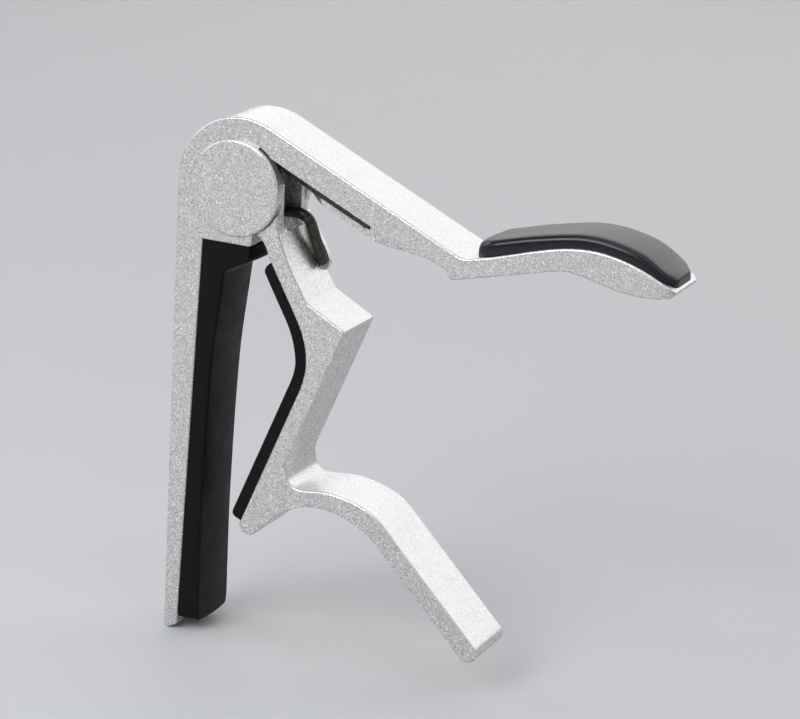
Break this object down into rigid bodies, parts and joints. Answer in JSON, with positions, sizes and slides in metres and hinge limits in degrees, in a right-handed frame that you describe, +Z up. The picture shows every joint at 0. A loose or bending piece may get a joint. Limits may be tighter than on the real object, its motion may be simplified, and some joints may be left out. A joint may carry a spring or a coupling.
{
  "type": "guitar capo",
  "caption": "Trigger-style spring capo: a die-cast frame with string bar and handle, a sprung lever with a curved neck jaw and trigger, and rubber pads and grip.",
  "frame": {"origin": "centre of the front cap's flat outer face, on the pivot axis", "axes": "+X from the string bar towards the handle, +Y along the pivot from the front face to the back, +Z up along the string bar"},
  "size_m": [0.0926, 0.0139, 0.097],
  "materials": {
    "casting": "satin, fine sparkle",
    "cap_metal": "satin, fine sparkle",
    "pad_rubber": "satin",
    "grip_rubber": "semi-gloss",
    "spring_steel": "black oxide",
    "pin_steel": "ground",
    "washer_nylon": "matte",
    "bush_brass": "turned"
  },
  "bodies": {
    "frame": {"main_frame": "casting", "string_pad": "pad_rubber", "handle_grip": "grip_rubber", "pivot_pin": "pin_steel", "front_cap": "cap_metal", "back_cap": "cap_metal", "front_washer": "washer_nylon", "back_washer": "washer_nylon", "spring_sleeve": "washer_nylon", "torsion_spring": "spring_steel"},
    "lever": {"trigger_lever": "casting", "saddle_pad": "pad_rubber", "front_bush": "bush_brass", "back_bush": "bush_brass"}
  },
  "joints": [
    {"name": "lever_pivot", "type": "hinge", "parent": "frame", "child": "lever", "pos_m": [0, 0.00695, 0], "axis": [0, -1, 0], "range_deg": [0, 30], "stiffness_Nm_per_rad": 1.2, "springref_deg": -57.3, "deforming": ["torsion_spring"]}
  ]
}
